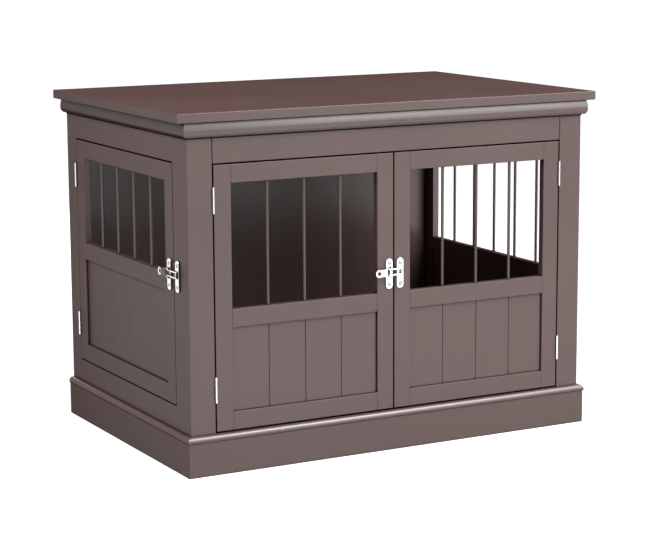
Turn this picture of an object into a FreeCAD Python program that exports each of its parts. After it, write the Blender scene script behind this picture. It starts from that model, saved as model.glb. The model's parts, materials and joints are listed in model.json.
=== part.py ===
import FreeCAD, Part
import math
import os

# End table with a pet crate inside: a panelled cabinet with a pair of barred doors in front,
# a third barred door in its left side, a barred window in its right side, and toggle latches.
#
# Frame: millimetres, +Z up, front towards -Y. The origin is on the floor, under the middle
# of the table top. A door is drawn flat first: x runs from its hinge edge to its latch edge,
# y from its outer face inwards, z up from its bottom edge. Hardware is drawn facing -Y too.

Vec = FreeCAD.Vector
X_AXIS = Vec(1, 0, 0)
Y_AXIS = Vec(0, 1, 0)
Z_AXIS = Vec(0, 0, 1)
ORIGIN = Vec(0, 0, 0)

# ---- table top ----
total_height = 700.0
top_width = 946.0
top_depth = 633.0
top_thickness = 18.0
top_edge_round = 1.2
overhang_side = 25.0
overhang_front = 16.0
overhang_back = 12.0

# ---- cabinet ----
wall = 15.0
floor_thickness = 15.0
post_width = 52.0
post_corner_round = 1.5
seam_width = 1.5
seam_depth = 4.0
arris = 0.5
top_rail_width = 80.0
side_front_stile = 65.5
side_rear_stile = 47.0
side_sill = 126.0
right_window_sill = 320.0
batten = 20.0
stop_depth = 12.0
stop_lap = 8.0
stop_hold = 10.0
stop_end_lap = 10.0
stop_gap = 0.4

# ---- mouldings ----
cornice_height = 32.0
cornice_belly = 10.2
cornice_neck = 7.6
cornice_foot = 6.0
cornice_belly_height = 13.5
cornice_quirk = 1.0
cornice_quirk_height = 2.8
plinth_height = 80.0
plinth_thickness = 9.0
bead_overhang = 2.0
bead_radius = 9.0
bead_nose = 4.5

# ---- doors ----
door_thickness = 15.0
door_gap = 3.0
rail_width = 36.0
front_middle_rail_top = 320.0
side_middle_rail_top = 384.0
tenon_thickness = 6.0
tenon_length = 12.0
tenon_shoulder = 9.0
joint_clearance = 0.1
joint_end_room = 0.5
panel_thickness = 6.0
panel_seat = 7.0
panel_recess_right = 4.5
v_groove_width = 2.4
v_groove_depth = 1.4

# ---- bars ----
bar_diameter = 6.0
bar_seat = 8.0
bar_clearance = 0.05
front_bar_count = 3
side_bar_count = 4
right_bar_count = 5

# ---- butt hinges ----
hinge_length = 50.0
hinge_leaf_thickness = 1.0
hinge_leaf_depth = 12.0
barrel_radius = 1.9
barrel_stand_off = 0.3
knuckle_count = 5
knuckle_gap = 0.2
leaf_relief = 0.3
pin_radius = 1.0
pin_clearance = 0.05
pin_end = 0.6
hinge_screw_spacing = 25.0
front_hinge_from_foot = 82.5
front_hinge_from_head = 67.0
side_hinge_from_foot = 77.0
side_hinge_from_head = 75.0

# ---- screws ----
screw_length = 12.0
screw_radius = 1.4
screw_head_radius = 2.9
screw_head_height = 1.5

# ---- toggle latches ----
front_latch_height = 358.5
side_latch_height = 384.0
front_lever_plate_inset = 2.4
front_catch_plate_inset = 4.0
side_lever_plate_inset = 6.6
side_catch_plate_inset = 12.0
latch_plate_width = 15.5
latch_plate_length = 62.0
latch_plate_thickness = 3.6
latch_plate_edge = 1.0
latch_window_room = 0.4
latch_screw_spacing = 42.0
latch_line_rise = 3.0
loop_wire_radius = 1.6
loop_leg_spacing = 11.0
loop_pivot_reach = 2.3
loop_pivot_height = 6.0
loop_pivot_clearance = 0.05
loop_pivot_rim = 1.0
loop_end_proud = 0.6
lever_pivot_reach = 3.2
lever_pivot_height = 6.5
lever_pivot_radius = 1.3
lever_pivot_clearance = 0.05
lever_sheet = 1.2
lever_side_gap = 0.2
lever_eye_radius = 2.3
lever_web_height = 8.0
lever_web_end = 7.4
lever_bend_run = 5.0
lever_knee_run = 6.0
lever_reach = 35.0
lever_ring_radius = 8.0
lever_ring_hole = 4.0
lever_ring_height = 9.4
rivet_head_radius = 2.1
rivet_head_height = 0.7
ear_radius = 2.5
lug_thickness = 1.6
lug_width = 5.4
lug_height = 8.6
lug_clearance = 0.35

# ---- derived places ----
body_half = top_width / 2 - overhang_side
front_y = -top_depth / 2 + overhang_front
back_y = top_depth / 2 - overhang_back
under_top = total_height - top_thickness
opening_head = under_top - top_rail_width
wall_in = body_half - wall
carcass_front = front_y + wall
carcass_back = back_y - wall
post_in = body_half - post_width
side_open_front = front_y + side_front_stile
side_open_rear = back_y - side_rear_stile
door_head = opening_head - door_gap
front_door_foot = plinth_height + door_gap
side_door_foot = side_sill + door_gap
front_door_width = post_in - door_gap * 1.5
front_door_height = door_head - front_door_foot
side_door_width = side_open_rear - side_open_front - 2 * door_gap
side_door_height = door_head - side_door_foot
side_gap_middle = side_open_front + door_gap / 2
barrel_proud = barrel_radius + barrel_stand_off
plate_offset = (door_gap + latch_plate_width) / 2
front_lever_place = front_lever_plate_inset + plate_offset
front_catch_place = front_catch_plate_inset + plate_offset
side_lever_place = side_lever_plate_inset + plate_offset
side_catch_place = side_catch_plate_inset + plate_offset

parts = {}


# ---- small helpers ----
def box(x0, x1, y0, y1, z0, z1):
    return Part.makeBox(x1 - x0, y1 - y0, z1 - z0, Vec(x0, y0, z0))


def rod(radius, start, direction, length):
    return Part.makeCylinder(radius, length, start, direction)


def fuse(shapes):
    return shapes[0].multiFuse(shapes[1:]).removeSplitter()


def cut(shape, tools):
    return shape.cut(tools).Solids[0]


def board(x0, x1, y0, y1, z0, z1):
    """A planed board with its sharp edges taken off."""
    blank = box(x0, x1, y0, y1, z0, z1)
    return blank.makeChamfer(arris, blank.Edges)


def edges_where(shape, test):
    """The edges whose two ends both pass the test."""
    return [edge for edge in shape.Edges if all(test(v.Point) for v in edge.Vertexes)]


def at(value, target):
    return abs(value - target) < 1e-6


def placed(shape, turn, origin):
    """A copy turned about Z by a number of degrees, then moved to an origin."""
    moved = shape.copy()
    moved.rotate(ORIGIN, Z_AXIS, turn)
    moved.translate(origin)
    return moved


def mirrored(shape):
    return shape.mirror(ORIGIN, X_AXIS)


def save(name, shapes):
    """Keep one node: a single solid, or a group of separate identical solids."""
    solids = [solid for shape in shapes for solid in shape.Solids]
    if len(solids) == 1:
        parts[name] = solids[0]
    else:
        parts[name] = Part.makeCompound(solids)


# ---- mouldings ----
def cornice_profile():
    """Ovolo with a swelling belly over a narrow quirk, drawn up from the moulding's foot."""
    quirk_low = Vec(cornice_quirk, 0, 0)
    quirk_high = Vec(cornice_quirk, 0, cornice_quirk_height)
    foot = Vec(cornice_foot, 0, cornice_quirk_height)
    belly = Vec(cornice_belly, 0, cornice_belly_height)
    neck = Vec(cornice_neck, 0, cornice_height)
    low_mid = Vec(foot.x + 0.75 * (belly.x - foot.x), 0, foot.z + 0.4 * (belly.z - foot.z))
    high_mid = Vec(belly.x - 0.2 * (belly.x - neck.x), 0, (belly.z + neck.z) / 2)
    top = Vec(0, 0, cornice_height)
    return Part.Wire([
        Part.LineSegment(ORIGIN, quirk_low).toShape(),
        Part.LineSegment(quirk_low, quirk_high).toShape(),
        Part.LineSegment(quirk_high, foot).toShape(),
        Part.Arc(foot, low_mid, belly).toShape(),
        Part.Arc(belly, high_mid, neck).toShape(),
        Part.LineSegment(neck, top).toShape(),
        Part.LineSegment(top, ORIGIN).toShape()])


def plinth_profile():
    """Skirting board with a half-round bead along its top edge."""
    reach = plinth_thickness + bead_overhang
    centre = Vec(reach - bead_radius, 0, plinth_height - bead_radius)
    slope = bead_radius * math.sqrt(0.5)
    outer = Vec(reach, 0, centre.z)
    crown = Vec(centre.x, 0, plinth_height)
    heel = Vec(plinth_thickness, 0, centre.z - bead_nose)
    nose = Vec(plinth_thickness + 0.85 * bead_overhang, 0, centre.z - 0.6 * bead_nose)
    toe = Vec(plinth_thickness, 0, 0)
    top = Vec(0, 0, plinth_height)
    return Part.Wire([
        Part.LineSegment(ORIGIN, toe).toShape(),
        Part.LineSegment(toe, heel).toShape(),
        Part.Arc(heel, nose, outer).toShape(),
        Part.Arc(outer, centre + Vec(slope, 0, slope), crown).toShape(),
        Part.LineSegment(crown, top).toShape(),
        Part.LineSegment(top, ORIGIN).toShape()])


def moulding(profile, length, reach, foot_z, turn, middle, start_mitred, end_mitred):
    """A run of moulding that stands out of a wall, mitred at the corners it turns.

    It is drawn along Y with the wall's face at x = 0, then turned about Z.
    """
    spare = 2 * reach
    run = Part.Face(profile).extrude(Vec(0, length + 2 * spare, 0))
    run.translate(Vec(0, -length / 2 - spare, 0))
    start = -length / 2
    end = length / 2
    start_out = start - reach if start_mitred else start
    end_out = end + reach if end_mitred else end
    outline = [Vec(0, start, 0), Vec(reach, start_out, 0), Vec(reach, end_out, 0), Vec(0, end, 0)]
    height = run.BoundBox.ZMax
    keep = Part.Face(Part.makePolygon(outline + outline[:1])).extrude(Vec(0, 0, height))
    return placed(run.common(keep), turn, middle + Vec(0, 0, foot_z))


def cornices():
    reach = max(cornice_belly, cornice_neck)
    foot_z = under_top - cornice_height
    centre_y = (front_y + back_y) / 2
    depth = back_y - front_y
    runs = (("cornice_right", depth, 0, Vec(body_half, centre_y, 0)),
            ("cornice_back", 2 * body_half, 90, Vec(0, back_y, 0)),
            ("cornice_left", depth, 180, Vec(-body_half, centre_y, 0)),
            ("cornice_front", 2 * body_half, 270, Vec(0, front_y, 0)))
    for name, length, turn, middle in runs:
        save(name, [moulding(cornice_profile(), length, reach, foot_z, turn, middle, True, True)])


def plinths():
    reach = plinth_thickness + bead_overhang
    centre_y = (front_y + back_y) / 2
    depth = back_y - front_y
    runs = (("plinth_right", depth, 0, Vec(body_half, centre_y, 0), True, False),
            ("plinth_left", depth, 180, Vec(-body_half, centre_y, 0), False, True),
            ("plinth_front", 2 * body_half, 270, Vec(0, front_y, 0), True, True))
    for name, length, turn, middle, start_mitred, end_mitred in runs:
        run = moulding(plinth_profile(), length, reach, 0, turn, middle, start_mitred, end_mitred)
        save(name, [run])


# ---- cabinet ----
def table_top():
    slab = box(-top_width / 2, top_width / 2, -top_depth / 2, top_depth / 2,
               under_top, total_height)
    save("table_top", [slab.makeFillet(top_edge_round, slab.Edges)])


def front_post():
    """The left post, with a softened outer corner."""
    post = box(-body_half, -post_in, front_y, carcass_front, 0, under_top)
    corner = edges_where(post, lambda p: at(p.x, -body_half) and at(p.y, front_y))
    post = post.makeFillet(post_corner_round, corner)
    inner = edges_where(post, lambda p: at(p.x, -post_in) and at(p.y, front_y))
    return post.makeChamfer(arris, inner)


def front_top_rail():
    """The rail between the posts: its ends step back to leave an open seam beside each post."""
    rail = box(-post_in, post_in, front_y, carcass_front, opening_head, under_top)
    lower = edges_where(rail, lambda p: at(p.y, front_y) and at(p.z, opening_head))
    rail = rail.makeChamfer(arris, lower)
    seam = box(-post_in, -post_in + seam_width, front_y, front_y + seam_depth,
               opening_head, under_top)
    return cut(rail, [seam, mirrored(seam)])


def side_blank():
    """A left side board before its openings are cut."""
    return box(-body_half, -wall_in, carcass_front, back_y, 0, under_top)


def cut_side_opening(side, z0, z1):
    """Cut an opening right through the left side board and soften its outer rim."""
    side = cut(side, [box(-body_half, -wall_in, side_open_front, side_open_rear, z0, z1)])

    def on_rim(p):
        across = at(p.y, side_open_front) or at(p.y, side_open_rear)
        return at(p.x, -body_half) and across and (at(p.z, z0) or at(p.z, z1))

    return side.makeChamfer(arris, edges_where(side, on_rim))


def bar_places(start, end, count):
    """Even places for a number of bars between two stiles."""
    step = (end - start) / (count + 1)
    return [start + step * (i + 1) for i in range(count)]


def v_grooves(places, z0, z1, face_y):
    """V cuts along Z in a face that looks towards -Y."""
    tools = []
    half = v_groove_width / 2
    for x in places:
        corners = [Vec(x - half, face_y, z0), Vec(x + half, face_y, z0),
                   Vec(x, face_y + v_groove_depth, z0)]
        wedge = Part.Face(Part.makePolygon(corners + corners[:1]))
        tools.append(wedge.extrude(Vec(0, 0, z1 - z0)))
    return tools


def right_side():
    """The right side board, drawn as a left one and mirrored: barred window over a panel."""
    panel_z1 = right_window_sill - rail_width
    frame = cut_side_opening(side_blank(), right_window_sill, opening_head)
    frame = cut_side_opening(frame, side_sill, panel_z1)
    seat_x = -body_half + panel_recess_right
    rebate = box(seat_x, -wall_in, side_open_front - panel_seat, side_open_rear + panel_seat,
                 side_sill - panel_seat, panel_z1 + panel_seat)
    places = bar_places(side_open_front, side_open_rear, right_bar_count)
    low = right_window_sill - bar_seat
    length = opening_head - right_window_sill + 2 * bar_seat
    feet = [Vec(-body_half + wall / 2, y, low) for y in places]
    bars = [rod(bar_diameter / 2, foot, Z_AXIS, length) for foot in feet]
    holes = [rod(bar_diameter / 2 + bar_clearance, foot, Z_AXIS, length) for foot in feet]
    frame = cut(frame, [rebate] + holes)
    low_z = side_sill - panel_seat + joint_clearance
    high_z = panel_z1 + panel_seat - joint_clearance
    # The panel is drawn flat, its face towards -Y, and then turned to face the side.
    low_s = -side_open_rear - panel_seat + joint_clearance
    high_s = -side_open_front + panel_seat - joint_clearance
    sheet = box(low_s, high_s, 0, panel_thickness, low_z, high_z)
    sheet = cut(sheet, v_grooves([-y for y in places], low_z, high_z, 0))
    panel = placed(sheet, -90, Vec(seat_x, 0, 0))
    save("right_side_frame", [mirrored(frame)])
    save("right_side_panel", [mirrored(panel)])
    save("right_side_bars", [mirrored(bar) for bar in bars])


def hidden_boards():
    """Back, floor, the rail behind the front skirting, battens and the stops of the doors."""
    save("back_panel", [box(-wall_in, wall_in, carcass_back, back_y, 0, under_top)])
    floor_low = plinth_height - floor_thickness
    save("floor_panel", [box(-wall_in, wall_in, carcass_front, carcass_back,
                             floor_low, plinth_height)])
    save("front_bottom_rail", [box(-post_in, post_in, front_y, carcass_front,
                                   0, plinth_height)])
    battens = []
    for low in (floor_low - batten, under_top - batten):
        left = box(-wall_in, -wall_in + batten, carcass_front, carcass_back, low, low + batten)
        battens.append(left)
        battens.append(mirrored(left))
    save("side_battens", battens)
    stop_y = max(carcass_front, front_y + door_thickness + stop_gap)
    stop_x = max(-wall_in, -body_half + door_thickness + stop_gap)
    front_stop = fuse([
        box(-post_in - stop_end_lap, post_in + stop_end_lap, stop_y, stop_y + stop_depth,
            door_head - stop_lap, opening_head + stop_hold),
        box(-post_in - stop_end_lap, post_in + stop_end_lap, carcass_front,
            stop_y + stop_depth, opening_head + arris, opening_head + stop_hold)])
    side_stop = fuse([
        box(stop_x, stop_x + stop_depth, side_open_front - stop_end_lap,
            side_open_rear + stop_end_lap, door_head - stop_lap, opening_head + stop_hold),
        box(-wall_in, stop_x + stop_depth, side_open_front - stop_end_lap,
            side_open_rear + stop_end_lap, opening_head + arris, opening_head + stop_hold)])
    save("front_door_stop", [front_stop])
    save("side_door_stop", [side_stop])


# ---- doors ----
def door_pieces(width, height, middle_rail_top, bar_count):
    """Stiles and rails with stub tenons, a grooved panel below, and bars above."""
    half = door_thickness / 2
    inner_low = rail_width
    inner_high = width - rail_width
    panel_low = rail_width
    panel_high = middle_rail_top - rail_width
    window_low = middle_rail_top
    window_high = height - rail_width
    bar_xs = bar_places(inner_low, inner_high, bar_count)

    slot = panel_thickness / 2 + joint_clearance
    slot_depth = panel_seat + joint_end_room
    panel_slot = box(inner_low - slot_depth, inner_high + slot_depth, half - slot, half + slot,
                     panel_low - slot_depth, panel_high + slot_depth)
    bar_length = window_high - window_low + 2 * bar_seat
    bar_foot = window_low - bar_seat
    bars = [rod(bar_diameter / 2, Vec(x, half, bar_foot), Z_AXIS, bar_length) for x in bar_xs]
    bar_holes = [rod(bar_diameter / 2 + bar_clearance, Vec(x, half, bar_foot), Z_AXIS, bar_length)
                 for x in bar_xs]

    mortises = []
    rails = {}
    rail_feet = (("bottom_rail", 0, True), ("middle_rail", panel_high, True),
                 ("top_rail", window_high, False))
    for name, foot, has_slot in rail_feet:
        tenon_low = foot + tenon_shoulder
        tenon_high = foot + rail_width - tenon_shoulder
        tongue = tenon_thickness / 2
        tenon = box(inner_low - tenon_length, inner_high + tenon_length,
                    half - tongue, half + tongue, tenon_low, tenon_high)
        loose = joint_clearance
        mortises.append(box(inner_low - tenon_length - joint_end_room,
                            inner_high + tenon_length + joint_end_room,
                            half - tongue - loose, half + tongue + loose,
                            tenon_low - loose, tenon_high + loose))
        rail = board(inner_low, inner_high, 0, door_thickness, foot, foot + rail_width)
        slots = [panel_slot] if has_slot else []
        rails[name] = cut(fuse([rail, tenon]), slots + bar_holes)

    hinge_stile = board(0, inner_low, 0, door_thickness, 0, height)
    latch_stile = board(inner_high, width, 0, door_thickness, 0, height)
    seat = panel_seat
    sheet = box(inner_low - seat, inner_high + seat, half - panel_thickness / 2,
                half + panel_thickness / 2, panel_low - seat, panel_high + seat)
    grooves = v_grooves(bar_xs, panel_low - seat, panel_high + seat, half - panel_thickness / 2)
    return {"hinge_stile": cut(hinge_stile, mortises + [panel_slot]),
            "latch_stile": cut(latch_stile, mortises + [panel_slot]),
            "bottom_rail": rails["bottom_rail"],
            "middle_rail": rails["middle_rail"],
            "top_rail": rails["top_rail"],
            "grooved_panel": cut(sheet, grooves),
            "bars": Part.makeCompound(bars)}


# ---- hardware ----
def screw(head, direction):
    """A countersunk screw: its head's face at one point, its shank along a direction."""
    profile = Part.makePolygon([
        Vec(0, 0, 0), Vec(screw_head_radius, 0, 0), Vec(screw_radius, 0, screw_head_height),
        Vec(screw_radius, 0, screw_length), Vec(0, 0, screw_length), Vec(0, 0, 0)])
    shape = Part.Face(profile).revolve(ORIGIN, Z_AXIS, 360)
    shape.Placement = FreeCAD.Placement(head, FreeCAD.Rotation(Z_AXIS, direction))
    return shape


def knuckle_spans(owner):
    """(low, high) spans of the knuckles of the frame leaf (0) or the door leaf (1)."""
    pitch = hinge_length / knuckle_count
    low = -hinge_length / 2
    return [(low + i * pitch, low + (i + 1) * pitch)
            for i in range(knuckle_count) if i % 2 == owner]


def hinge(owner, height):
    """One leaf of a butt hinge in the gap of a door, in the door's own flat frame."""
    side = -1 if owner == 0 else 1
    axis_x = -door_gap / 2
    outer = axis_x + side * door_gap / 2
    inner = outer - side * hinge_leaf_thickness
    x0 = min(outer, inner)
    x1 = max(outer, inner)
    low = height - hinge_length / 2
    leaf = box(x0, x1, -barrel_proud, hinge_leaf_depth, low, low + hinge_length)
    notch_end = -barrel_proud + barrel_radius + leaf_relief
    notches = [box(x0, x1, -barrel_proud, notch_end,
                   height + k0 - knuckle_gap / 2, height + k1 + knuckle_gap / 2)
               for k0, k1 in knuckle_spans(1 - owner)]
    knuckles = []
    for k0, k1 in knuckle_spans(owner):
        trim_low = knuckle_gap / 2 if k0 > -hinge_length / 2 else 0
        trim_high = knuckle_gap / 2 if k1 < hinge_length / 2 else 0
        start = Vec(axis_x, -barrel_proud, height + k0 + trim_low)
        knuckles.append(rod(barrel_radius, start, Z_AXIS, k1 - k0 - trim_low - trim_high))
    bore = rod(pin_radius + pin_clearance, Vec(axis_x, -barrel_proud, low), Z_AXIS, hinge_length)
    return cut(fuse([cut(leaf, notches)] + knuckles), [bore])


def hinge_pin(height):
    foot = Vec(-door_gap / 2, -barrel_proud, height - hinge_length / 2 - pin_end)
    return rod(pin_radius, foot, Z_AXIS, hinge_length + 2 * pin_end)


def hinge_screws(owner, height):
    side = -1 if owner == 0 else 1
    face_x = -door_gap / 2 + side * (door_gap / 2 - hinge_leaf_thickness)
    middle_y = hinge_leaf_depth / 2 + arris
    half = hinge_screw_spacing / 2
    return [screw(Vec(face_x, middle_y, height + dz), X_AXIS * side) for dz in (-half, half)]


def latch_plate():
    """A cast plate with round ends: its middle at the origin, its back on the door's face."""
    radius = latch_plate_width / 2
    straight = latch_plate_length / 2 - radius
    thickness = latch_plate_thickness
    body = box(-radius, radius, -thickness, 0, -straight, straight)
    ends = [rod(radius, Vec(0, 0, z), -Y_AXIS, thickness) for z in (-straight, straight)]
    plate = fuse([body] + ends)
    rim = edges_where(plate, lambda p: at(p.y, -thickness))
    return plate.makeChamfer(latch_plate_edge, rim)


def latch_screws():
    half = latch_screw_spacing / 2
    return [screw(Vec(0, -latch_plate_thickness, z), Y_AXIS) for z in (-half, half)]


def cheek_faces():
    """Inner and outer face of a lever's side, measured from the middle of the latch."""
    inner = loop_leg_spacing / 2 + loop_wire_radius + lever_side_gap
    return inner, inner + lever_sheet


def loop_eye_radius():
    """Outer radius of the eye that carries the loop in each side of the lever."""
    return loop_wire_radius + loop_pivot_clearance + loop_pivot_rim


def latch_base():
    """The plate with a window under the lever, two ears and the rivets that the lever turns on."""
    cheek_in, cheek_out = cheek_faces()
    half_window = cheek_out + latch_window_room
    window_end = -loop_pivot_reach + loop_eye_radius() + latch_window_room
    window = box(-lever_web_end - latch_window_room, window_end, -latch_plate_thickness, 0,
                 latch_line_rise - half_window, latch_line_rise + half_window)
    pieces = [cut(latch_plate(), [window])]
    ear_in = cheek_out + lever_side_gap
    ear_out = ear_in + lever_sheet
    for side in (-1, 1):
        z0 = latch_line_rise + min(side * ear_in, side * ear_out)
        centre = Vec(lever_pivot_reach, -lever_pivot_height, z0)
        foot = box(centre.x - ear_radius, centre.x + ear_radius, -lever_pivot_height,
                   -latch_plate_thickness / 2, z0, z0 + lever_sheet)
        inner = Vec(centre.x, centre.y, latch_line_rise + side * cheek_in)
        outer = Vec(centre.x, centre.y, latch_line_rise + side * ear_out)
        pieces += [foot,
                   rod(ear_radius, centre, Z_AXIS, lever_sheet),
                   rod(lever_pivot_radius, inner, Z_AXIS * side, ear_out - cheek_in),
                   rod(rivet_head_radius, outer, Z_AXIS * side, rivet_head_height)]
    return fuse(pieces)


def lever_strip(ring_x):
    """The grip: a web over the cheeks, bent away from the doors, and a ring at its end."""
    cheek_out = cheek_faces()[1]
    web_low = lever_web_height
    web_high = web_low + lever_sheet
    grip_low = lever_ring_height
    grip_high = grip_low + lever_sheet
    bend = lever_web_end + lever_bend_run
    knee = bend + lever_knee_run
    side_view = Part.makePolygon([
        Vec(-lever_web_end, -web_low, 0), Vec(-bend, -web_low, 0), Vec(-knee, -grip_low, 0),
        Vec(-lever_reach, -grip_low, 0), Vec(-lever_reach, -grip_high, 0),
        Vec(-knee, -grip_high, 0), Vec(-bend, -web_high, 0),
        Vec(-lever_web_end, -web_high, 0), Vec(-lever_web_end, -web_low, 0)])
    strip = Part.Face(side_view).extrude(Vec(0, 0, 2 * cheek_out))
    strip.translate(Vec(0, 0, -cheek_out))
    deep = max(web_high, grip_high) + lever_sheet
    waist = cheek_out - lever_sheet
    plan = fuse([
        rod(lever_ring_radius, Vec(ring_x, 0, 0), -Y_AXIS, deep),
        box(ring_x, -lever_web_end, -deep, 0, -waist, waist),
        box(-bend, -lever_web_end, -deep, 0, -cheek_out, cheek_out)])
    hole = rod(lever_ring_hole, Vec(ring_x, 0, 0), -Y_AXIS, deep)
    return cut(strip.common(plan), [hole])


def latch_lever():
    """Sheet lever: two cheeks with eyes for the rivets and the loop, and a ringed grip."""
    cheek_in, cheek_out = cheek_faces()
    web_low = lever_web_height
    web_high = web_low + lever_sheet
    bend = lever_web_end + lever_bend_run
    pivot = Vec(lever_pivot_reach, -lever_pivot_height, 0)
    loop_pivot = Vec(-loop_pivot_reach, -loop_pivot_height, 0)
    pieces = [lever_strip(-lever_reach + lever_ring_radius)]
    for side in (-1, 1):
        z0 = min(side * cheek_in, side * cheek_out)
        arm = Part.makePolygon([
            Vec(-bend, -web_high, z0), Vec(-bend, -web_low, z0),
            Vec(-lever_web_end, -loop_pivot_height, z0),
            Vec(pivot.x, pivot.y + lever_eye_radius, z0),
            Vec(pivot.x, pivot.y - lever_eye_radius, z0),
            Vec(-lever_web_end, -web_high, z0), Vec(-bend, -web_high, z0)])
        pieces += [Part.Face(arm).extrude(Vec(0, 0, lever_sheet)),
                   rod(lever_eye_radius, pivot + Vec(0, 0, z0), Z_AXIS, lever_sheet),
                   rod(loop_eye_radius(), loop_pivot + Vec(0, 0, z0), Z_AXIS, lever_sheet)]
    across = Vec(0, 0, cheek_out)
    holes = [rod(loop_wire_radius + loop_pivot_clearance, loop_pivot - across,
                 Z_AXIS, 2 * cheek_out),
             rod(lever_pivot_radius + lever_pivot_clearance, pivot - across,
                 Z_AXIS, 2 * cheek_out)]
    lever = cut(fuse(pieces), holes)
    lever.translate(Vec(0, 0, latch_line_rise))
    return lever


def latch_loop(span):
    """A bent wire: its ends turn out through the lever's cheeks, its bow lies behind the lug.

    The span runs from the middle of the lever's plate to the middle of the catch plate.
    """
    x0 = -loop_pivot_reach
    x1 = span + lug_thickness / 2 + lug_clearance + loop_wire_radius
    half = loop_leg_spacing / 2
    end = cheek_faces()[1] + loop_end_proud
    r = loop_wire_radius + lever_side_gap
    d = r * (1 - math.sqrt(0.5))

    def point(x, z):
        return Vec(x, -loop_pivot_height, latch_line_rise + z)

    def straight(xa, za, xb, zb):
        return Part.LineSegment(point(xa, za), point(xb, zb)).toShape()

    def corner(x, z, sx, sz):
        """One bend: x, z is the sharp corner; sx, sz point along the two straights."""
        return Part.Arc(point(x, z + sz * r), point(x + sx * d, z + sz * d),
                        point(x + sx * r, z)).toShape()

    def piece(edge):
        start = edge.valueAt(edge.FirstParameter)
        tangent = edge.tangentAt(edge.FirstParameter)
        ring = Part.Wire(Part.makeCircle(loop_wire_radius, start, tangent))
        return Part.Wire(edge).makePipeShell([ring], True, False)

    edges = [straight(x1, -half + r, x1, half - r)]
    for side in (-1, 1):
        leg = side * half
        edges += [straight(x0, side * end, x0, leg + side * r), corner(x0, leg, 1, side),
                  straight(x0 + r, leg, x1 - r, leg), corner(x1, leg, -1, -side)]
    return fuse([piece(edge) for edge in edges])


def catch():
    """The plate with the lug that the loop drops over."""
    face = lug_thickness / 2
    back = -face
    crown = lug_height - face
    floor = -latch_plate_thickness / 2
    z0 = latch_line_rise - lug_width / 2
    gusset = Part.makePolygon([
        Vec(back - lug_thickness, floor, z0), Vec(back, floor, z0), Vec(back, -crown, z0),
        Vec(back - lug_thickness, -latch_plate_thickness, z0),
        Vec(back - lug_thickness, floor, z0)])
    return fuse([latch_plate(),
                 box(back, face, -crown, floor, z0, z0 + lug_width),
                 rod(face, Vec(0, -crown, z0), Z_AXIS, lug_width),
                 Part.Face(gusset).extrude(Vec(0, 0, lug_width))])


# ---- assembly ----
def main():
    os.makedirs("parts", exist_ok=True)
    table_top()
    cornices()
    plinths()
    right_side()
    hidden_boards()

    left_post = front_post()
    right_post = mirrored(front_post())
    left_side = cut_side_opening(side_blank(), side_sill, opening_head)

    front_origin = Vec(-post_in + door_gap, front_y, front_door_foot)
    side_origin = Vec(-body_half, side_open_rear - door_gap, side_door_foot)

    def to_left(shape):
        return placed(shape, 0, front_origin)

    def to_right(shape):
        return mirrored(to_left(shape))

    def to_side(shape):
        return placed(shape, -90, side_origin)

    def at_front_latch(shape, x):
        return placed(shape, 0, Vec(x, front_y, front_latch_height))

    def at_side_latch(shape, x):
        return placed(shape, -90, Vec(-body_half, side_gap_middle - x, side_latch_height))

    front_door = door_pieces(front_door_width, front_door_height,
                             front_middle_rail_top - front_door_foot, front_bar_count)
    side_door = door_pieces(side_door_width, side_door_height,
                            side_middle_rail_top - side_door_foot, side_bar_count)
    front_heights = (front_hinge_from_foot, front_door_height - front_hinge_from_head)
    side_heights = (side_hinge_from_foot, side_door_height - side_hinge_from_head)
    lever_screws = [at_front_latch(s, -front_lever_place) for s in latch_screws()]
    catch_screws = [at_front_latch(s, front_catch_place) for s in latch_screws()]
    side_lever_screws = [at_side_latch(s, -side_lever_place) for s in latch_screws()]
    side_catch_screws = [at_side_latch(s, side_catch_place) for s in latch_screws()]

    doors = (("left_door", front_door, front_heights, to_left, lever_screws),
             ("right_door", front_door, front_heights, to_right, catch_screws),
             ("side_door", side_door, side_heights, to_side, side_lever_screws))

    frame_leaves = []
    pins = []
    frame_screws = list(side_catch_screws)
    for name, pieces, heights, place, plate_screws in doors:
        screws_in_frame = [place(s) for h in heights for s in hinge_screws(0, h)]
        screws_in_door = [place(s) for h in heights for s in hinge_screws(1, h)]
        door_screws = screws_in_door + plate_screws
        frame_leaves += [cut(place(hinge(0, h)), screws_in_frame) for h in heights]
        door_leaves = [cut(place(hinge(1, h)), screws_in_door) for h in heights]
        pins += [place(hinge_pin(h)) for h in heights]
        frame_screws += screws_in_frame
        for piece_name, shape in pieces.items():
            wood = place(shape)
            if piece_name.endswith("stile"):
                wood = cut(wood, door_screws)
            save(name + "_" + piece_name, [wood])
        save(name + "_hinge_leaves", door_leaves)
        save(name + "_screws", door_screws)

    save("front_left_post", [cut(left_post, frame_screws)])
    save("front_right_post", [cut(right_post, frame_screws)])
    save("front_top_rail", [front_top_rail()])
    save("left_side_frame", [cut(left_side, frame_screws)])
    save("hinge_frame_leaves", frame_leaves)
    save("hinge_pins", pins)
    save("frame_screws", frame_screws)

    latches = (("front", at_front_latch, front_lever_place, front_catch_place,
                lever_screws, catch_screws),
               ("side", at_side_latch, side_lever_place, side_catch_place,
                side_lever_screws, side_catch_screws))
    for name, place, lever_place, catch_place, base_screws, far_screws in latches:
        save(name + "_latch_plate", [cut(place(latch_base(), -lever_place), base_screws)])
        save(name + "_latch_lever", [place(latch_lever(), -lever_place)])
        save(name + "_latch_loop", [place(latch_loop(lever_place + catch_place), -lever_place)])
        save(name + "_catch_plate", [cut(place(catch(), catch_place), far_screws)])

    for name, shape in parts.items():
        shape.exportStep("parts/" + name + ".step")
        print(name, len(shape.Solids), round(shape.Volume / 1000, 2), shape.isValid())


main()
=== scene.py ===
"""Looks of the crate end table: painted boards, painted bars and chrome hardware.

Everything is in metres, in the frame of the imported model: +Z up, double doors towards -Y.
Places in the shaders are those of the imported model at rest, and the screw heads' are their own.
"""

import json
import math

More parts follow.
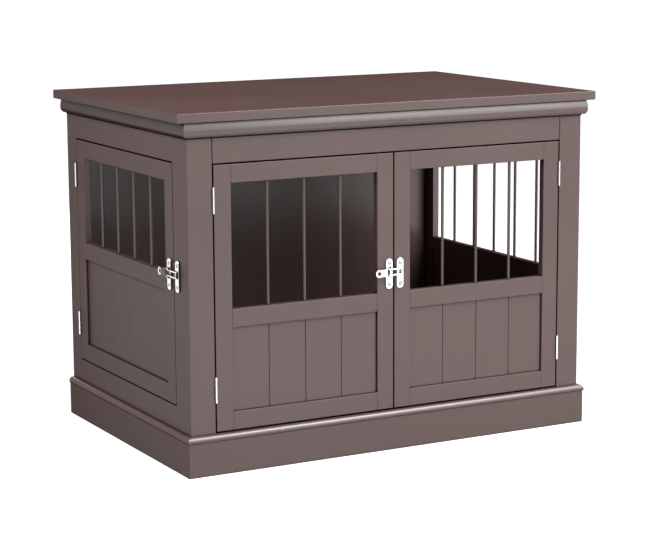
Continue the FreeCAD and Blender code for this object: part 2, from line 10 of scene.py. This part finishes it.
import bmesh
import bpy
from mathutils import Matrix, Vector

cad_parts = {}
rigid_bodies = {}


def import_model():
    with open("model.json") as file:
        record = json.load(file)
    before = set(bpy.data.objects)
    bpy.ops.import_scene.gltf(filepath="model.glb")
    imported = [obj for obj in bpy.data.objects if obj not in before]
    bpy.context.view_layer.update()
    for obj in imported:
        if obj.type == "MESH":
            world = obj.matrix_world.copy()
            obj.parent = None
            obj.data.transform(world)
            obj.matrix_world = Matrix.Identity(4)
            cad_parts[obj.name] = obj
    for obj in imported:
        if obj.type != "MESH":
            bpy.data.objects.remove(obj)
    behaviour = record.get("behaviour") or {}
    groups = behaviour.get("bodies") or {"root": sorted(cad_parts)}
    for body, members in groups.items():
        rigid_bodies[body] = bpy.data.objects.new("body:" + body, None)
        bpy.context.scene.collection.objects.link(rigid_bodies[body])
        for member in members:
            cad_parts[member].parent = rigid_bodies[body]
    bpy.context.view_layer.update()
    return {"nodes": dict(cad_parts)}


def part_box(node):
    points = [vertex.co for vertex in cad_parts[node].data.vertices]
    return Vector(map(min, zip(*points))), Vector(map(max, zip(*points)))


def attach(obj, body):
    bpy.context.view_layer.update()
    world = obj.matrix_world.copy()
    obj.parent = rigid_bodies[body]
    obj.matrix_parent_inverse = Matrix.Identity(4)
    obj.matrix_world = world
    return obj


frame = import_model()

# ---- camera: the photograph's place and lens, with angles in radians and the lens in mm ----
CAMERA_PLACE = (-2.0222, -3.7478, 1.0653)
CAMERA_YAW = 0.49625
CAMERA_PITCH = 0.17619
CAMERA_ROLL = -0.00569
CAMERA_LENS = 112.95
SENSOR_WIDTH = 36.0
CLIP_START = 0.05
CLIP_END = 100.0

# ---- colours, linear ----
PAINT = (0.128, 0.078, 0.072)
PAINT_WORN = (0.235, 0.170, 0.160)
# painted shade: the colour that the paint's corners, gaps and recesses are darkened towards
PAINT_SHADE = (0.022, 0.011, 0.010)
BAR_PAINT = (0.110, 0.068, 0.063)
CHROME = (0.93, 0.93, 0.94)
# painted highlight: the lighter colour of the chrome's edges
CHROME_EDGE_HIGHLIGHT = (0.97, 0.97, 0.98)
# painted shade of the chrome: the dark that its crevices, the rings round screw heads and its front-facing
# edges turn towards
CHROME_SHADE = (0.005, 0.004, 0.004)
# painted reflection of the door in the hollow of the side lever
PAINTED_DOOR_REFLECTION = (0.110, 0.082, 0.078)
WHITE = (1.0, 1.0, 1.0, 1.0)

# ---- grain: the scale of each axis, small along the board ----
ALONG_X = (0.06, 1.0, 1.0)
ALONG_Y = (1.0, 0.06, 1.0)
ALONG_Z = (1.0, 1.0, 0.06)

# ---- noises: scale, detail and roughness ----
CLOUD = (4.0, 3.0, 0.5)
FIBRE = (160.0, 4.0, 0.6)
SPECK = (900.0, 2.0, 0.5)
RUBBING = (55.0, 3.0, 0.5)
HAIRLINE = (2500.0, 3.0, 0.6)
SMUDGE = (90.0, 3.0, 0.5)
MAIN_SHARE = 0.6
FINE_SHARE = 0.4

# ---- ramps: from and to, with the values at both ends where they aren't 0 and 1 ----
CLOUD_RAMP = (0.3, 0.7)
FIBRE_RAMP = (0.35, 0.75, 0.0, 0.10)
RUBBING_RAMP = (0.35, 0.7, 0.25, 0.9)
SMUDGE_RAMP = (0.35, 0.75)
POLISH_RAMP = (0.3, 0.75)

# ---- edges and corners: radii and reaches, and ramps of how level or how open a spot is ----
SHADER_SAMPLES = 8
PAINT_EDGE_RADIUS = 0.0012
CHROME_EDGE_RADIUS = 0.0004
EDGE_RAMP = (0.985, 0.55)
# painted shade of the paint: reach and ramp of the wide shade in corners, then of the fine shade in gaps
# and recesses
CORNER_SHADE_REACH = 0.012
CORNER_SHADE_RAMP = (0.75, 0.25)
GAP_SHADE_REACH = 0.005
GAP_SHADE_RAMP = (0.84, 0.52)
# painted shade in the chrome's crevices: reach and ramp
CREVICE_REACH = 0.004
CREVICE_RAMP = (0.90, 0.55, 0.0, 0.95)

# ---- paint ----
MOTTLE_DARK = 0.93
MOTTLE_LIGHT = 1.06
FIBRE_SHADE = 0.72
WEAR_SHARE = 0.25
PAINT_RELIEF_HEIGHT = 0.0004

# ---- painted shadow line round the foot of the cornice: heights above the foot, fading and full ----
FOOT_SHADOW_END = 0.0023
FOOT_SHADOW_FULL = 0.0015

# ---- sheen of the paint: full at this much turned from the eye and gone at that much, its ramp by
# how open a spot is, and how far up a curve has to face to shine more ----
GLOSS_BLEND = 0.5
GLOSS_FULL = 0.12
GLOSS_NONE = 0.66
GLOSS_OPEN = (0.30, 0.72)
CURVE_TURN = (0.04, 0.22)

# ---- finishes: least and most roughness, strength of the relief, shares of the wide painted shade in
# corners and of the fine painted shade in gaps and recesses, sheen of flats and what curves that face up
# have more ----
BOARD = {"smooth": 0.29, "rough": 0.36, "relief": 0.20, "corner_shade": 0.85, "joint": 0.80,
         "flat_gloss": 0.80, "curve_gloss": 0.0}
CORNICE = {"smooth": 0.26, "rough": 0.31, "relief": 0.06, "corner_shade": 0.40, "joint": 0.40,
           "flat_gloss": 0.86, "curve_gloss": 0.36}
PLINTH = {"smooth": 0.34, "rough": 0.39, "relief": 0.06, "corner_shade": 0.30, "joint": 0.30,
          "flat_gloss": 0.72, "curve_gloss": 0.80}
SIDE_RUN = {"flat_gloss": 0.62, "curve_gloss": 0.06}

# ---- chrome ----
CHROME_ROUGHNESS = (0.14, 0.26)
HAIRLINE_RELIEF = 0.10
HAIRLINE_HEIGHT = 0.00005
SMUDGE_SHADE = 0.90
# share of the painted highlight along the chrome's edges
EDGE_HIGHLIGHT_SHARE = 0.3
# painted shade on faces turned to the front: the Y of the normal at which it starts and is full
FRONT_SHADE_TURN = (-0.45, -0.80)

# ---- painted reflection of the door in the hollow of the side lever: shares of its length at which ----
# it starts, is full, fades and ends ----
LEVER_WEB = (0.04, 0.32, 0.62, 0.92)

# ---- screw heads of the latches: radius, rise and painted shade ring, cross, and mesh ----
LATCH_PLATE_THICKNESS = 0.0036
LATCH_SCREW_SPACING = 0.042
HEAD_RADIUS = 0.0038
HEAD_RISE = 0.0011
HEAD_DOME = 2.4
HEAD_SKIRT = 0.0004
HEAD_SHADE_START = 0.60
HEAD_SHADE_FULL = 0.74
CROSS_HALF_WIDTH = 0.00042
CROSS_REACH = 0.62
CROSS_DEPTH = 0.0010
CROSS_RUNOUT = 0.6
CROSS_TURN_STEP = 37.0
CROSS_TURN_STEPS = 5
HEAD_SIDES = 48
HEAD_RINGS = 14

# ---- which names are upright boards, and which are metal ----
UPRIGHT_ENDINGS = ("stile", "panel", "post")
METAL_WORDS = ("hinge", "latch_plate", "catch_plate", "latch_lever", "latch_loop", "screws", "pins")

# ---- floor and surround: colours seen and bounced, and the glow, which rises with the distance ----
FLOOR_HALF_SIZE = 40.0
FLOOR_DROP = 0.0005
FLOOR_COLOUR = (0.80, 0.80, 0.80)
FLOOR_BOUNCE = (0.20, 0.19, 0.19)
FLOOR_ROUGHNESS = 0.9
FLOOR_NEAR = 1.5
FLOOR_FAR = 6.0
FLOOR_NEAR_GLOW = 0.72
FLOOR_FAR_GLOW = 1.0
AMBIENT = 0.10

# ---- lamps: name, bearing from +X and height in degrees, width and height, watts ----
LAMP_TARGET = Vector((0.0, 0.0, 0.40))
LAMP_DISTANCE = 3.2
SOFTBOXES = (("front_softbox", -53.0, 43.0, (1.9, 1.2), 84.0),
             ("left_softbox", 195.0, 40.0, (1.5, 1.5), 54.0),
             ("low_softbox", -58.0, 14.0, (1.6, 0.7), 16.0),
             ("back_softbox", 85.0, 14.0, (1.5, 1.5), 32.0))


# ---- node helpers ----
class Tree:
    """The node tree of a material or a world, with short calls for nodes and links."""

    def __init__(self, owner, shader="Principled BSDF"):
        owner.use_nodes = True
        self.owner = owner
        self.nodes = owner.node_tree.nodes
        self.links = owner.node_tree.links
        self.shader = self.nodes[shader]

    def add(self, kind, values=None, **settings):
        node = self.nodes.new(kind)
        for key, value in settings.items():
            setattr(node, key, value)
        for key, value in (values or {}).items():
            node.inputs[key].default_value = value
        return node

    def link(self, source, target):
        self.links.new(source, target)

    def colour_mix(self, factor, low, high):
        """A blend of two colours, each a tuple or a socket, by a socket."""
        node = self.add("ShaderNodeMix", data_type="RGBA")
        self.link(factor, node.inputs[0])
        for socket, value in ((node.inputs[6], low), (node.inputs[7], high)):
            if isinstance(value, tuple):
                socket.default_value = (*value, 1.0)
            else:
                self.link(value, socket)
        return node.outputs[2]

    def ramp(self, factor, low, high, low_value=0.0, high_value=1.0):
        node = self.add("ShaderNodeMapRange", clamp=True)
        node.inputs[1].default_value = low
        node.inputs[2].default_value = high
        node.inputs[3].default_value = low_value
        node.inputs[4].default_value = high_value
        self.link(factor, node.inputs[0])
        return node.outputs[0]

    def math(self, operation, first, second):
        """Two values, each a number or a socket, added, multiplied or the like."""
        node = self.add("ShaderNodeMath", operation=operation)
        for socket, value in ((node.inputs[0], first), (node.inputs[1], second)):
            if isinstance(value, (int, float)):
                socket.default_value = value
            else:
                self.link(value, socket)
        return node.outputs[0]

    def blend(self, main, fine):
        """One field with a smaller share of a second."""
        return self.math("ADD", self.math("MULTIPLY", main, MAIN_SHARE),
                         self.math("MULTIPLY", fine, FINE_SHARE))

    def noise(self, place, scale, detail, roughness):
        node = self.add("ShaderNodeTexNoise",
                        {"Scale": scale, "Detail": detail, "Roughness": roughness})
        self.link(place, node.inputs["Vector"])
        return node.outputs[0]

    def scaled(self, place, scale):
        """A place with each axis multiplied by its own scale."""
        node = self.add("ShaderNodeMapping", {"Scale": scale})
        self.link(place, node.inputs["Vector"])
        return node.outputs["Vector"]

    def along(self, vector, axis):
        """A vector's part along one axis."""
        node = self.add("ShaderNodeSeparateXYZ")
        self.link(vector, node.inputs[0])
        return node.outputs[axis]

    def length(self, vector):
        node = self.add("ShaderNodeVectorMath", operation="LENGTH")
        self.link(vector, node.inputs[0])
        return node.outputs["Value"]

    def openness(self, reach):
        """1 in the open, less where other faces come within the reach."""
        node = self.add("ShaderNodeAmbientOcclusion", {"Distance": reach}, samples=SHADER_SAMPLES)
        return node.outputs["AO"]

    def edges(self, radius):
        """The rounded normal, and near 1 along sharp edges, where it turns from the face's own."""
        bevel = self.add("ShaderNodeBevel", {"Radius": radius}, samples=SHADER_SAMPLES)
        geometry = self.add("ShaderNodeNewGeometry")
        dot = self.add("ShaderNodeVectorMath", operation="DOT_PRODUCT")
        self.link(bevel.outputs[0], dot.inputs[0])
        self.link(geometry.outputs["True Normal"], dot.inputs[1])
        return bevel.outputs[0], self.ramp(dot.outputs["Value"], *EDGE_RAMP)

    def emboss(self, field, strength, height, rounded):
        """Give the shader a fine relief on top of a rounded normal."""
        node = self.add("ShaderNodeBump", {"Strength": strength, "Distance": height})
        self.link(field, node.inputs["Height"])
        self.link(rounded, node.inputs["Normal"])
        self.link(node.outputs[0], self.shader.inputs["Normal"])


def shaded(colour, factor):
    return tuple(factor * part for part in colour)


# ---- paint ----
def paint_gloss(tree, finish, opened):
    """Sheen of faces that look at the eye and lie open; curved mouldings shine more facing up."""
    turned = tree.add("ShaderNodeLayerWeight", {"Blend": GLOSS_BLEND}).outputs["Facing"]
    gloss = tree.ramp(turned, GLOSS_FULL, GLOSS_NONE, finish["flat_gloss"], 0.0)
    if finish["curve_gloss"]:
        upward = tree.along(tree.add("ShaderNodeNewGeometry").outputs["Normal"], "Z")
        gloss = tree.math("ADD", gloss, tree.ramp(upward, *CURVE_TURN, 0.0, finish["curve_gloss"]))
    return tree.math("MULTIPLY", gloss, tree.ramp(opened, *GLOSS_OPEN))


def satin_paint(name, grain, colour=PAINT, finish=BOARD, foot=None):
    """Sprayed satin paint over fine boards: faint grain, mottling, rubbed arrises, painted shade in
    corners and gaps.

    A foot is the height of the lower edge round which a painted shadow line runs."""
    tree = Tree(bpy.data.materials.new(name))
    place = tree.add("ShaderNodeTexCoord").outputs["Object"]
    cloud = tree.noise(place, *CLOUD)
    fibre = tree.noise(tree.scaled(place, grain), *FIBRE)
    speck = tree.noise(place, *SPECK)
    rounded, edge = tree.edges(PAINT_EDGE_RADIUS)
    wear = tree.math("MULTIPLY", edge, tree.ramp(tree.noise(place, *RUBBING), *RUBBING_RAMP))
    opened = tree.openness(CORNER_SHADE_REACH)
    # painted shade: darker where other faces come close, widely in corners and finely in gaps and recesses
    corner_shade = tree.ramp(opened, *CORNER_SHADE_RAMP)
    joint = tree.ramp(tree.openness(GAP_SHADE_REACH), *GAP_SHADE_RAMP)

    tone = tree.colour_mix(tree.ramp(cloud, *CLOUD_RAMP), shaded(colour, MOTTLE_DARK),
                           shaded(colour, MOTTLE_LIGHT))
    tone = tree.colour_mix(tree.ramp(fibre, *FIBRE_RAMP), tone, shaded(colour, FIBRE_SHADE))
    # painted shade: corners, gaps and recesses darkened
    tone = tree.colour_mix(tree.math("MULTIPLY", corner_shade, finish["corner_shade"]), tone, PAINT_SHADE)
    tone = tree.colour_mix(tree.math("MULTIPLY", joint, finish["joint"]), tone, PAINT_SHADE)
    tone = tree.colour_mix(tree.math("MULTIPLY", wear, WEAR_SHARE), tone, PAINT_WORN)
    gloss = paint_gloss(tree, finish, opened)
    # painted shadow: a dark line without sheen along the cornice's foot, where it meets the case
    if foot is not None:
        line = tree.ramp(tree.along(place, "Z"), foot + FOOT_SHADOW_END, foot + FOOT_SHADOW_FULL)
        tone = tree.colour_mix(line, tone, PAINT_SHADE)
        gloss = tree.math("MULTIPLY", gloss, tree.math("SUBTRACT", 1.0, line))
    roughness = tree.ramp(tree.blend(cloud, fibre), *CLOUD_RAMP, finish["smooth"], finish["rough"])

    tree.link(tone, tree.shader.inputs["Base Color"])
    tree.link(roughness, tree.shader.inputs["Roughness"])
    tree.link(gloss, tree.shader.inputs["Specular IOR Level"])
    tree.emboss(tree.blend(fibre, speck), finish["relief"], PAINT_RELIEF_HEIGHT, rounded)
    return tree.owner


def moulding_paints():
    """Paints of cornice and plinth, by word and by whether the run goes along the depth."""
    cornice_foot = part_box("cornice_front")[0].z
    paints = {}
    for word, finish, foot in (("cornice", CORNICE, cornice_foot), ("plinth", PLINTH, None)):
        paints[word, True] = satin_paint(word + "_deep", ALONG_Y, finish={**finish, **SIDE_RUN}, foot=foot)
        paints[word, False] = satin_paint(word + "_across", ALONG_X, finish=finish, foot=foot)
    return paints


# ---- metal ----
def chrome(name, rim_shade=None, front_shade=False, web=None):
    """Bright plated steel: hairline polish, smudges, a painted highlight along soft edges and painted
    shade in crevices.

    A ring of painted shade round the edge of a screw head is given by its inner and outer radius.
    Edges that face the front of the table can take painted shade, as on the hardware of its side.
    A web, four places along Y, is the hollow of a lever, in which a painted reflection of the door darkens
    the chrome."""
    tree = Tree(bpy.data.materials.new(name))
    place = tree.add("ShaderNodeTexCoord").outputs["Object"]
    hair = tree.noise(tree.scaled(place, ALONG_Z), *HAIRLINE)
    smudge = tree.noise(place, *SMUDGE)
    rounded, edge = tree.edges(CHROME_EDGE_RADIUS)

    tone = tree.colour_mix(tree.ramp(smudge, *SMUDGE_RAMP), CHROME, shaded(CHROME, SMUDGE_SHADE))
    # painted shade: the chrome darkens in crevices, where other faces come close
    tone = tree.colour_mix(tree.ramp(tree.openness(CREVICE_REACH), *CREVICE_RAMP), tone, CHROME_SHADE)
    # painted shade: a dark ring round the edge of a screw head
    if rim_shade:
        out = tree.length(tree.scaled(place, (1.0, 1.0, 0.0)))
        tone = tree.colour_mix(tree.ramp(out, *rim_shade), tone, CHROME_SHADE)
    # painted shade: faces turned towards the front of the table darken
    if front_shade:
        turn = tree.along(tree.add("ShaderNodeTexCoord").outputs["Normal"], "Y")
        tone = tree.colour_mix(tree.ramp(turn, *FRONT_SHADE_TURN), tone, CHROME_SHADE)
    # painted reflection: the door's colour in the hollow of the lever
    if web:
        start, full, fading, end = web
        spot = tree.along(place, "Y")
        hollow = tree.math("MULTIPLY", tree.ramp(spot, start, full), tree.ramp(spot, end, fading))
        tone = tree.colour_mix(hollow, tone, PAINTED_DOOR_REFLECTION)
    # painted highlight: the chrome's edges lightened
    tone = tree.colour_mix(tree.math("MULTIPLY", edge, EDGE_HIGHLIGHT_SHARE), tone, CHROME_EDGE_HIGHLIGHT)
    roughness = tree.ramp(tree.blend(smudge, hair), *POLISH_RAMP, *CHROME_ROUGHNESS)

    tree.link(tone, tree.shader.inputs["Base Color"])
    tree.link(roughness, tree.shader.inputs["Roughness"])
    tree.shader.inputs["Metallic"].default_value = 1.0
    tree.emboss(hair, HAIRLINE_RELIEF, HAIRLINE_HEIGHT, rounded)
    return tree.owner


def side_chromes():
    """Chrome of each piece of the side latch, by name."""
    low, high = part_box("side_latch_lever")
    web = [low.y + share * (high.y - low.y) for share in LEVER_WEB]
    side = chrome("side_chrome", front_shade=True)
    lever = chrome("side_lever_chrome", front_shade=True, web=web)
    return {"side_latch_plate": side, "side_catch_plate": side, "side_latch_loop": side,
            "side_latch_lever": lever}


# ---- carried-over CAD nodes ----
def dress_frame():
    """Give every CAD node its material, with the grain along each board."""
    upright = satin_paint("paint_upright", ALONG_Z)
    boards = {True: satin_paint("paint_deep", ALONG_Y), False: satin_paint("paint_across", ALONG_X)}
    mouldings = moulding_paints()
    bars = satin_paint("bar_paint", ALONG_Z, BAR_PAINT)
    bright = chrome("bright_chrome")
    side_metal = side_chromes()
    for name, node in frame["nodes"].items():
        low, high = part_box(name)
        deep = high.y - low.y > high.x - low.x
        if name.endswith(UPRIGHT_ENDINGS):
            material = upright
        elif name.endswith("bars"):
            material = bars
        elif name in side_metal:
            material = side_metal[name]
        elif any(word in name for word in METAL_WORDS):
            material = bright
        elif name.startswith(("cornice", "plinth")):
            material = mouldings[name.split("_")[0], deep]
        else:
            material = boards[deep]
        node.data.materials.clear()
        node.data.materials.append(material)


# ---- screw heads ----
def head_mesh(steel):
    """An oval screw head seen from +Z: a domed disc with a cross pressed into it, and a skirt."""
    mesh = bmesh.new()

    def vertex(share, angle):
        x = HEAD_RADIUS * share * math.cos(angle)
        y = HEAD_RADIUS * share * math.sin(angle)
        height = HEAD_RISE * (1.0 - share ** HEAD_DOME)
        if min(abs(x), abs(y)) < CROSS_HALF_WIDTH and share < CROSS_REACH:
            height -= CROSS_DEPTH * (1.0 - CROSS_RUNOUT * share)
        return mesh.verts.new((x, y, height))

    angles = [2.0 * math.pi * j / HEAD_SIDES for j in range(HEAD_SIDES)]
    centre = vertex(0.0, 0.0)
    rings = [[vertex(i / HEAD_RINGS, angle) for angle in angles] for i in range(1, HEAD_RINGS + 1)]
    rings.append([mesh.verts.new((v.co.x, v.co.y, -HEAD_SKIRT)) for v in rings[-1]])
    for j in range(HEAD_SIDES):
        k = (j + 1) % HEAD_SIDES
        mesh.faces.new((centre, rings[0][j], rings[0][k]))
        for inner, outer in zip(rings, rings[1:]):
            mesh.faces.new((inner[j], outer[j], outer[k], inner[k]))
    data = bpy.data.meshes.new("screw_head")
    mesh.to_mesh(data)
    mesh.free()
    data.materials.append(steel)
    return data


def screw_head(name, data, place, facing, body):
    """One head on a plate, with its cross turned on a step from head to head."""
    head = bpy.data.objects.new(name, data)
    head.location = place
    head.rotation_mode = "QUATERNION"
    turn = CROSS_TURN_STEP * (len(bpy.data.objects) % CROSS_TURN_STEPS)
    spin = Matrix.Rotation(math.radians(turn), 3, "Z")
    head.rotation_quaternion = facing.to_track_quat("Z", "Y") @ spin.to_quaternion()
    bpy.context.scene.collection.objects.link(head)
    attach(head, body)


def latch_screw_heads():
    """Two raised heads on each latch and catch plate."""
    # painted shade ring round each head, from where it starts to where it is full
    rim_shade = (HEAD_SHADE_START * HEAD_RADIUS, HEAD_SHADE_FULL * HEAD_RADIUS)
    data = head_mesh(chrome("screw_chrome", rim_shade))
    forwards = Vector((0, -1, 0))
    leftwards = Vector((-1, 0, 0))
    for plate, body, facing in (("front_latch_plate", "front_left_door", forwards),
                                ("front_catch_plate", "front_right_door", forwards),
                                ("side_latch_plate", "side_door", leftwards),
                                ("side_catch_plate", "root", leftwards)):
        low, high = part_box(plate)
        seat = (Vector(low) + Vector(high)) / 2
        across = 1 if facing.y else 0
        seat[across] = high[across]
        seat += facing * LATCH_PLATE_THICKNESS
        for end, label in ((-1, "lower"), (1, "upper")):
            place = seat + Vector((0, 0, end * LATCH_SCREW_SPACING / 2))
            screw_head(plate + "_screw_" + label, data, place, facing, body)


# ---- stage ----
def make_camera():
    """The photograph's camera: yaw is from +Y towards +X, pitch is downwards."""
    forward = Vector((math.sin(CAMERA_YAW) * math.cos(CAMERA_PITCH),
                      math.cos(CAMERA_YAW) * math.cos(CAMERA_PITCH), -math.sin(CAMERA_PITCH)))
    level = Vector((math.cos(CAMERA_YAW), -math.sin(CAMERA_YAW), 0.0))
    up = level.cross(forward)
    right = math.cos(CAMERA_ROLL) * level + math.sin(CAMERA_ROLL) * up
    top = math.cos(CAMERA_ROLL) * up - math.sin(CAMERA_ROLL) * level
    data = bpy.data.cameras.new("camera")
    data.lens = CAMERA_LENS
    data.sensor_width = SENSOR_WIDTH
    data.clip_start = CLIP_START
    data.clip_end = CLIP_END
    camera = bpy.data.objects.new("camera", data)
    turn = Matrix((right, top, -forward)).transposed().to_4x4()
    camera.matrix_world = Matrix.Translation(CAMERA_PLACE) @ turn
    bpy.context.scene.collection.objects.link(camera)
    bpy.context.scene.camera = camera


def camera_or_mirror(tree):
    """1 for what the camera sees straight or in a reflection, 0 for light that bounces."""
    path = tree.add("ShaderNodeLightPath")
    return tree.math("MAXIMUM", path.outputs["Is Camera Ray"], path.outputs["Is Glossy Ray"])


def make_floor():
    """Pale floor that glows to near white for the eye, so that only the shadow shows."""
    half = FLOOR_HALF_SIZE
    mesh = bpy.data.meshes.new("floor")
    corners = [(-half, -half, 0), (half, -half, 0), (half, half, 0), (-half, half, 0)]
    mesh.from_pydata(corners, [], [(0, 1, 2, 3)])
    floor = bpy.data.objects.new("floor", mesh)
    tree = Tree(bpy.data.materials.new("floor_paint"))
    seen = camera_or_mirror(tree)
    reach = tree.length(tree.add("ShaderNodeTexCoord").outputs["Object"])
    glow = tree.ramp(reach, FLOOR_NEAR, FLOOR_FAR, FLOOR_NEAR_GLOW, FLOOR_FAR_GLOW)
    tree.link(tree.colour_mix(seen, FLOOR_BOUNCE, FLOOR_COLOUR), tree.shader.inputs["Base Color"])
    tree.link(tree.math("MULTIPLY", seen, glow), tree.shader.inputs["Emission Strength"])
    tree.shader.inputs["Emission Color"].default_value = WHITE
    tree.shader.inputs["Roughness"].default_value = FLOOR_ROUGHNESS
    tree.shader.inputs["Specular IOR Level"].default_value = 0.0
    mesh.materials.append(tree.owner)
    bpy.context.scene.collection.objects.link(floor)
    floor.location.z = -FLOOR_DROP


def softbox(name, bearing, rise, size, power):
    """A lamp that faces the table, its bearing from +X and its height in degrees."""
    data = bpy.data.lights.new(name, "AREA")
    data.shape = "RECTANGLE"
    data.size, data.size_y = size
    data.energy = power
    lamp = bpy.data.objects.new(name, data)
    turn = math.radians(bearing)
    tilt = math.radians(rise)
    way = Vector((math.cos(turn) * math.cos(tilt), math.sin(turn) * math.cos(tilt), math.sin(tilt)))
    lamp.location = LAMP_TARGET + LAMP_DISTANCE * way
    lamp.rotation_mode = "QUATERNION"
    lamp.rotation_quaternion = way.to_track_quat("Z", "Y")
    bpy.context.scene.collection.objects.link(lamp)


def make_world():
    """Even dim light all round; the eye and reflections see a white surround instead."""
    tree = Tree(bpy.data.worlds.new("studio"), "Background")
    tree.shader.inputs["Color"].default_value = WHITE
    strength = tree.ramp(camera_or_mirror(tree), 0.0, 1.0, AMBIENT, 1.0)
    tree.link(strength, tree.shader.inputs["Strength"])
    bpy.context.scene.world = tree.owner


def main():
    dress_frame()
    latch_screw_heads()
    make_camera()
    make_floor()
    make_world()
    for name, bearing, rise, size, power in SOFTBOXES:
        softbox(name, bearing, rise, size, power)
    bpy.context.scene.view_settings.view_transform = "Standard"


main()
